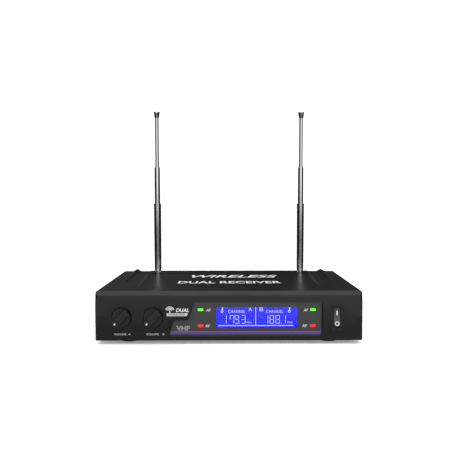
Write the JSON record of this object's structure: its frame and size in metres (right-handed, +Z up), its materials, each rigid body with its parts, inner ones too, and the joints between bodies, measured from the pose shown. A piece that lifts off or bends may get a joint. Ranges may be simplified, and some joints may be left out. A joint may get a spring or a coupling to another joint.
{
  "type": "wireless microphone receiver",
  "caption": "Black desktop wireless microphone receiver with volume knobs, a blue display, a rocker power switch and folding telescopic antennas at the rear.",
  "frame": {"origin": "centre of the plan of the whole part, at the level of the feet", "axes": "+Z up, +X along the width to the right as seen from the front, +Y to the rear, where the sockets and antennas are"},
  "size_m": [0.21, 0.1412, 0.1982],
  "materials": {
    "front_black": "satin moulded plastic with a faint fine grain",
    "case_black": "semi-gloss moulded plastic, printed on top",
    "rear_black": "satin moulded plastic",
    "display_grey": "flat grey plate with a red and a blue stripe along its lower edge",
    "window": "clear window",
    "lcd_blue": "lit blue display with pale characters",
    "frame_black": "plain moulding",
    "light_guide": "clear milky light guide",
    "led_green": "lit green rectangular lamp",
    "led_red": "lit red rectangular lamp",
    "board_green": "circuit board with green solder mask",
    "screw_steel": "plated steel",
    "pot_metal": "plain metal",
    "nut_chrome": "nickel plated",
    "knob_black": "satin moulded plastic",
    "pointer_white": "white filled mark",
    "switch_black": "satin moulded plastic",
    "rocker_black": "semi-gloss black with white I and O marks",
    "brass_parts": "plated brass",
    "lead_red": "soft insulation",
    "screw_black": "black oxide steel",
    "foot_rubber": "soft black rubber",
    "jack_black": "moulded plastic",
    "tin": "tinned sheet",
    "chip_black": "moulded epoxy",
    "cap_sleeve": "dark blue sleeve",
    "header_cream": "nylon",
    "ribbon_grey": "flat flexible cable",
    "antenna_chrome": "polished plated brass tube"
  },
  "bodies": {
    "chassis": {"front_bezel": "front_black", "display_plate": "display_grey", "display_window": "window", "lcd_panel": "lcd_blue", "lcd_frame": "frame_black", "backlight_guide": "light_guide", "af_leds": "led_green", "rf_leds": "led_red", "front_board": "board_green", "front_board_screws": "screw_steel", "volume_pots": "pot_metal", "pot_nuts": "nut_chrome", "pot_washers": "nut_chrome", "switch_housing": "switch_black", "switch_terminals": "brass_parts", "switch_leads": "lead_red", "top_cover": "case_black", "bottom_tray": "case_black", "rear_panel": "rear_black", "case_screws": "screw_black", "rubber_feet": "foot_rubber", "output_jack": "jack_black", "output_jack_nut": "nut_chrome", "dc_jack": "jack_black", "dc_jack_pin": "nut_chrome", "main_board": "board_green", "main_board_screws": "screw_steel", "rf_shield_cans": "tin", "if_coils": "tin", "crystals": "tin", "signal_chips": "chip_black", "electrolytic_caps": "cap_sleeve", "voltage_regulator": "chip_black", "board_headers": "header_cream", "ribbon_cable": "ribbon_grey", "antenna_brackets": "tin"},
    "knob_a": {"knob_a": "knob_black", "knob_a_pointer": "pointer_white", "pot_shaft_a": "pot_metal"},
    "knob_b": {"knob_b": "knob_black", "knob_b_pointer": "pointer_white", "pot_shaft_b": "pot_metal"},
    "rocker": {"switch_rocker": "rocker_black"},
    "post_left": {"antenna_post_left": "antenna_chrome", "post_screw_left": "screw_steel"},
    "lower_left": {"antenna_base_left": "antenna_chrome", "pivot_pin_left": "screw_steel", "lower_tube_left": "antenna_chrome"},
    "middle_left": {"middle_tube_left": "antenna_chrome"},
    "upper_left": {"upper_rod_left": "antenna_chrome", "antenna_tip_left": "antenna_chrome"},
    "post_right": {"antenna_post_right": "antenna_chrome", "post_screw_right": "screw_steel"},
    "lower_right": {"antenna_base_right": "antenna_chrome", "pivot_pin_right": "screw_steel", "lower_tube_right": "antenna_chrome"},
    "middle_right": {"middle_tube_right": "antenna_chrome"},
    "upper_right": {"upper_rod_right": "antenna_chrome", "antenna_tip_right": "antenna_chrome"}
  },
  "joints": [
    {"name": "knob_a_turn", "type": "hinge", "parent": "chassis", "child": "knob_a", "pos_m": [-0.08425, -0.0654, 0.0217], "axis": [0, 1, 0], "range_deg": [0, 270]},
    {"name": "knob_b_turn", "type": "hinge", "parent": "chassis", "child": "knob_b", "pos_m": [-0.0595, -0.0654, 0.0217], "axis": [0, 1, 0], "range_deg": [0, 270]},
    {"name": "power_rocker", "type": "hinge", "parent": "chassis", "child": "rocker", "pos_m": [0.0848, -0.06184, 0.0211], "axis": [1, 0, 0], "range_deg": [0, 16]},
    {"name": "swivel_left", "type": "hinge", "parent": "chassis", "child": "post_left", "pos_m": [-0.0702, 0.0592, 0.0462], "axis": [0, 0, 1], "range_deg": [-90, 90]},
    {"name": "tilt_left", "type": "hinge", "parent": "post_left", "child": "lower_left", "pos_m": [-0.0702, 0.0592, 0.0462], "axis": [0, -1, 0], "range_deg": [0, 85]},
    {"name": "middle_slide_left", "type": "slide", "parent": "lower_left", "child": "middle_left", "axis": [0, 0, 1], "range_m": [-0.0353, 0.0155]},
    {"name": "upper_slide_left", "type": "slide", "parent": "middle_left", "child": "upper_left", "axis": [0, 0, 1], "range_m": [-0.0475, 0.0043]},
    {"name": "swivel_right", "type": "hinge", "parent": "chassis", "child": "post_right", "pos_m": [0.0702, 0.0592, 0.0462], "axis": [0, 0, 1], "range_deg": [-90, 90]},
    {"name": "tilt_right", "type": "hinge", "parent": "post_right", "child": "lower_right", "pos_m": [0.0702, 0.0592, 0.0462], "axis": [0, 1, 0], "range_deg": [0, 85]},
    {"name": "middle_slide_right", "type": "slide", "parent": "lower_right", "child": "middle_right", "axis": [0, 0, 1], "range_m": [-0.0353, 0.0155]},
    {"name": "upper_slide_right", "type": "slide", "parent": "middle_right", "child": "upper_right", "axis": [0, 0, 1], "range_m": [-0.0475, 0.0043]}
  ]
}
